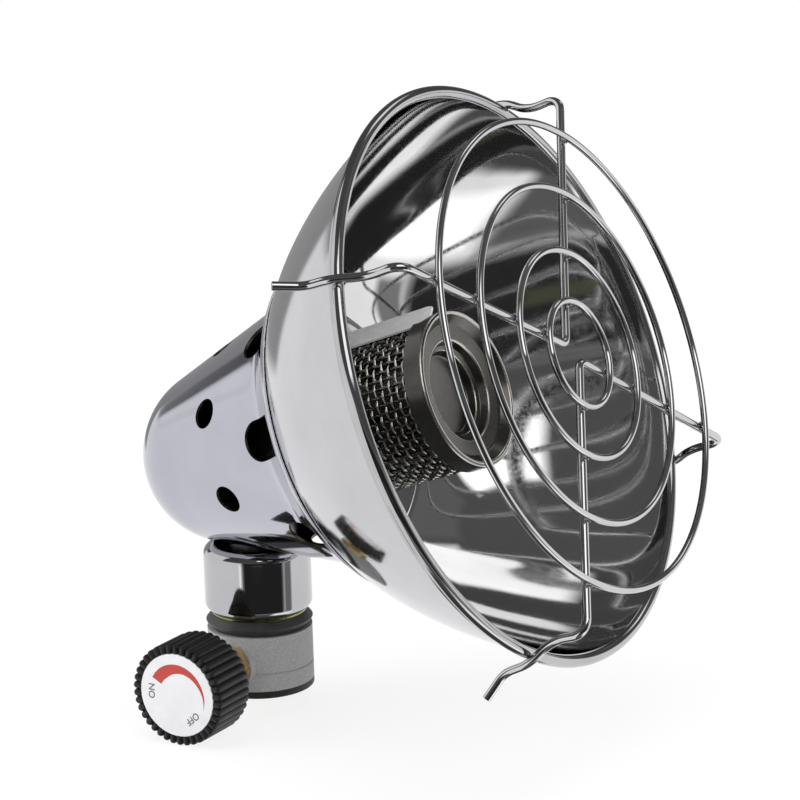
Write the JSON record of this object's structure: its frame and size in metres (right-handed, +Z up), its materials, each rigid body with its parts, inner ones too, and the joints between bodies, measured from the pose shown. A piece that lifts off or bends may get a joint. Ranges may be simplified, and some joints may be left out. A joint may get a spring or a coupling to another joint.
{
  "type": "portable propane heater",
  "caption": "Portable screw-on propane heater head: polished round reflector with gauze burner, wire guard, vented rear housing, valve stem and a ribbed gas knob.",
  "frame": {"origin": "centre of the cartridge thread's mouth, at the underside of the valve body's rubber seat ring", "axes": "+Z up the stem, away from the cartridge; +X is the side the reflector faces; -Y is the side the gas knob is on"},
  "size_m": [0.1539, 0.1552, 0.1736],
  "materials": {
    "reflector_steel": "polished inside, bright outside",
    "housing_chrome": "bright chrome plate",
    "burner_steel": "heat-tinted stainless",
    "gauze_steel": "woven stainless wire",
    "bright_strip": "bright rolled strip",
    "zinc_plate": "zinc plated",
    "brass": "machined",
    "sintered_bronze": "matt sintered",
    "yellow_passivate": "yellow passivated",
    "black_satin": "satin black",
    "cast_body": "bead-blasted casting",
    "black_rubber": "matt",
    "black_plastic": "moulded, fine texture",
    "screw_steel": "zinc plated",
    "white_plastic": "printed disc",
    "guard_wire": "bright plated wire"
  },
  "bodies": {
    "heater": {"reflector": "reflector_steel", "rear_housing": "housing_chrome", "burner_base": "burner_steel", "back_lock_nut": "brass", "front_lock_nut": "brass", "flame_sleeve": "burner_steel", "burner_gauze": "gauze_steel", "gauze_strip": "bright_strip", "burner_cap": "burner_steel", "mixing_tube": "zinc_plate", "saddle_washer": "zinc_plate", "housing_nut": "brass", "cup": "housing_chrome", "cup_nut": "brass", "lock_washer": "yellow_passivate", "bevel_ring": "black_satin", "valve_body": "cast_body", "seat_ring": "black_rubber", "thread_insert": "brass", "cartridge_seal": "black_rubber", "actuator_pin": "brass", "jet": "brass", "jet_filter": "sintered_bronze", "gland_nut": "brass", "spindle_seal": "black_rubber", "guard_ring_1": "guard_wire", "guard_ring_2": "guard_wire", "guard_ring_3": "guard_wire", "guard_ring_4": "guard_wire", "guard_wire_upper": "guard_wire", "guard_wire_lower": "guard_wire"},
    "knob_turning": {"spindle": "brass", "knob": "black_plastic", "knob_screw": "screw_steel", "dial_disc": "white_plastic"}
  },
  "joints": [
    {"name": "knob_turn", "type": "hinge", "parent": "heater", "child": "knob_turning", "pos_m": [0, -0.03, 0.0093], "axis": [0, -1, 0], "range_deg": [0, 270]}
  ]
}
